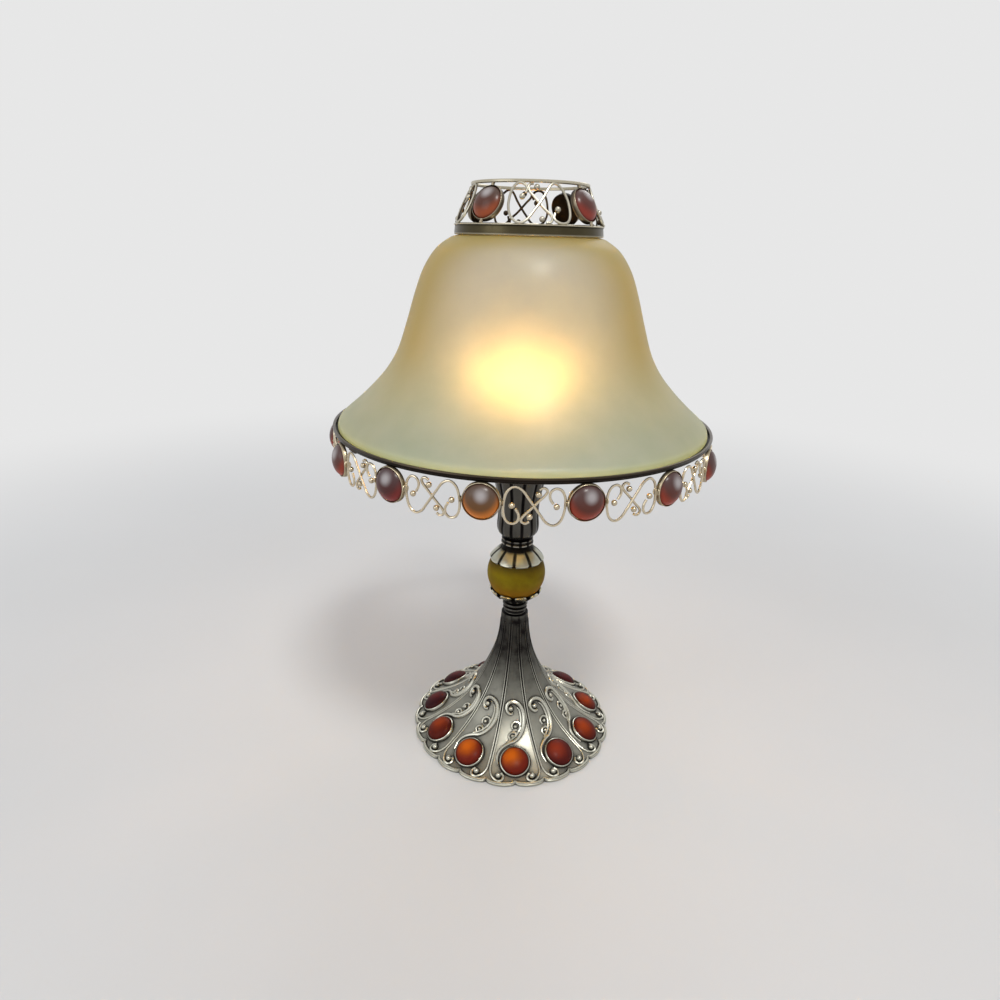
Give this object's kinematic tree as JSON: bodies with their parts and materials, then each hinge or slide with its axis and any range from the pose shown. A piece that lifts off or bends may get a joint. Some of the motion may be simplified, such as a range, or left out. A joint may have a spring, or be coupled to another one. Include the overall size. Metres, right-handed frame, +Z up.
{
  "type": "tealight lamp",
  "caption": "Table candle lamp: bell glass shade on a ring hung with stones and scrolled wire, over a fluted stem with a glass bead on a petal foot; shade, crown and tealight lift off.",
  "frame": {"origin": "centre of the foot's underside, on the lamp's axis", "axes": "+Z up along the stem; -Y is the front, which the picture shows; +X is to the right seen from the front"},
  "size_m": [0.1862, 0.1826, 0.2817],
  "materials": {
    "antique_pewter": "antiqued pewter casting, dark in its recesses and bright on its raised edges",
    "dark_bronze": "dark bronzed metal with rubbed edges",
    "scroll_wire": "satin pale brass wire",
    "foot_stone": "frosted orange to dark red cabochon",
    "fringe_stone": "frosted smoky cabochon, orange or red below",
    "crown_stone": "frosted smoky red cabochon",
    "amber_glass": "matte amber glass bead",
    "rod_steel": "plain steel",
    "frosted_glass": "frosted pale green-cream glass",
    "tealight_metal": "bright pressed foil metal",
    "candle_wax": "smooth cream wax",
    "wick_cotton": "charred cotton"
  },
  "bodies": {
    "stand": {"foot_casting": "antique_pewter", "foot_stone_01": "foot_stone", "foot_stone_02": "foot_stone", "foot_stone_03": "foot_stone", "foot_stone_04": "foot_stone", "foot_stone_05": "foot_stone", "foot_stone_06": "foot_stone", "foot_stone_07": "foot_stone", "foot_stone_08": "foot_stone", "foot_stone_09": "foot_stone", "foot_stone_10": "foot_stone", "foot_stone_11": "foot_stone", "neck_collar": "dark_bronze", "bead_dish": "antique_pewter", "glass_bead": "amber_glass", "petal_cap": "antique_pewter", "fluted_vase": "dark_bronze", "tie_rod": "rod_steel", "rod_nut": "rod_steel", "shade_spider": "dark_bronze", "gallery_ring": "dark_bronze", "fringe_stone_01": "fringe_stone", "fringe_stone_02": "fringe_stone", "fringe_stone_03": "fringe_stone", "fringe_stone_04": "fringe_stone", "fringe_stone_05": "fringe_stone", "fringe_stone_06": "fringe_stone", "fringe_stone_07": "fringe_stone", "fringe_stone_08": "fringe_stone", "fringe_stone_09": "fringe_stone", "fringe_stone_10": "fringe_stone", "fringe_stone_11": "fringe_stone", "fringe_stone_12": "fringe_stone", "fringe_stone_13": "fringe_stone", "fringe_stone_14": "fringe_stone", "fringe_scroll_01": "scroll_wire", "fringe_scroll_02": "scroll_wire", "fringe_scroll_03": "scroll_wire", "fringe_scroll_04": "scroll_wire", "fringe_scroll_05": "scroll_wire", "fringe_scroll_06": "scroll_wire", "fringe_scroll_07": "scroll_wire", "fringe_scroll_08": "scroll_wire", "fringe_scroll_09": "scroll_wire", "fringe_scroll_10": "scroll_wire", "fringe_scroll_11": "scroll_wire", "fringe_scroll_12": "scroll_wire", "fringe_scroll_13": "scroll_wire", "fringe_scroll_14": "scroll_wire", "candle_cup": "dark_bronze"},
    "shade": {"glass_shade": "frosted_glass"},
    "crown": {"crown_frame": "dark_bronze", "crown_stone_01": "crown_stone", "crown_stone_02": "crown_stone", "crown_stone_03": "crown_stone", "crown_stone_04": "crown_stone"},
    "tealight": {"tealight_shell": "tealight_metal", "wax_fill": "candle_wax", "wick_base": "tealight_metal", "wick": "wick_cotton"}
  },
  "joints": [
    {"name": "shade_lift", "type": "slide", "parent": "stand", "child": "shade", "axis": [0, 0, 1], "range_m": [0, 0.1]},
    {"name": "crown_lift", "type": "slide", "parent": "shade", "child": "crown", "axis": [0, 0, 1], "range_m": [0, 0.03]},
    {"name": "tealight_lift", "type": "slide", "parent": "stand", "child": "tealight", "axis": [0, 0, 1], "range_m": [0, 0.125]}
  ]
}
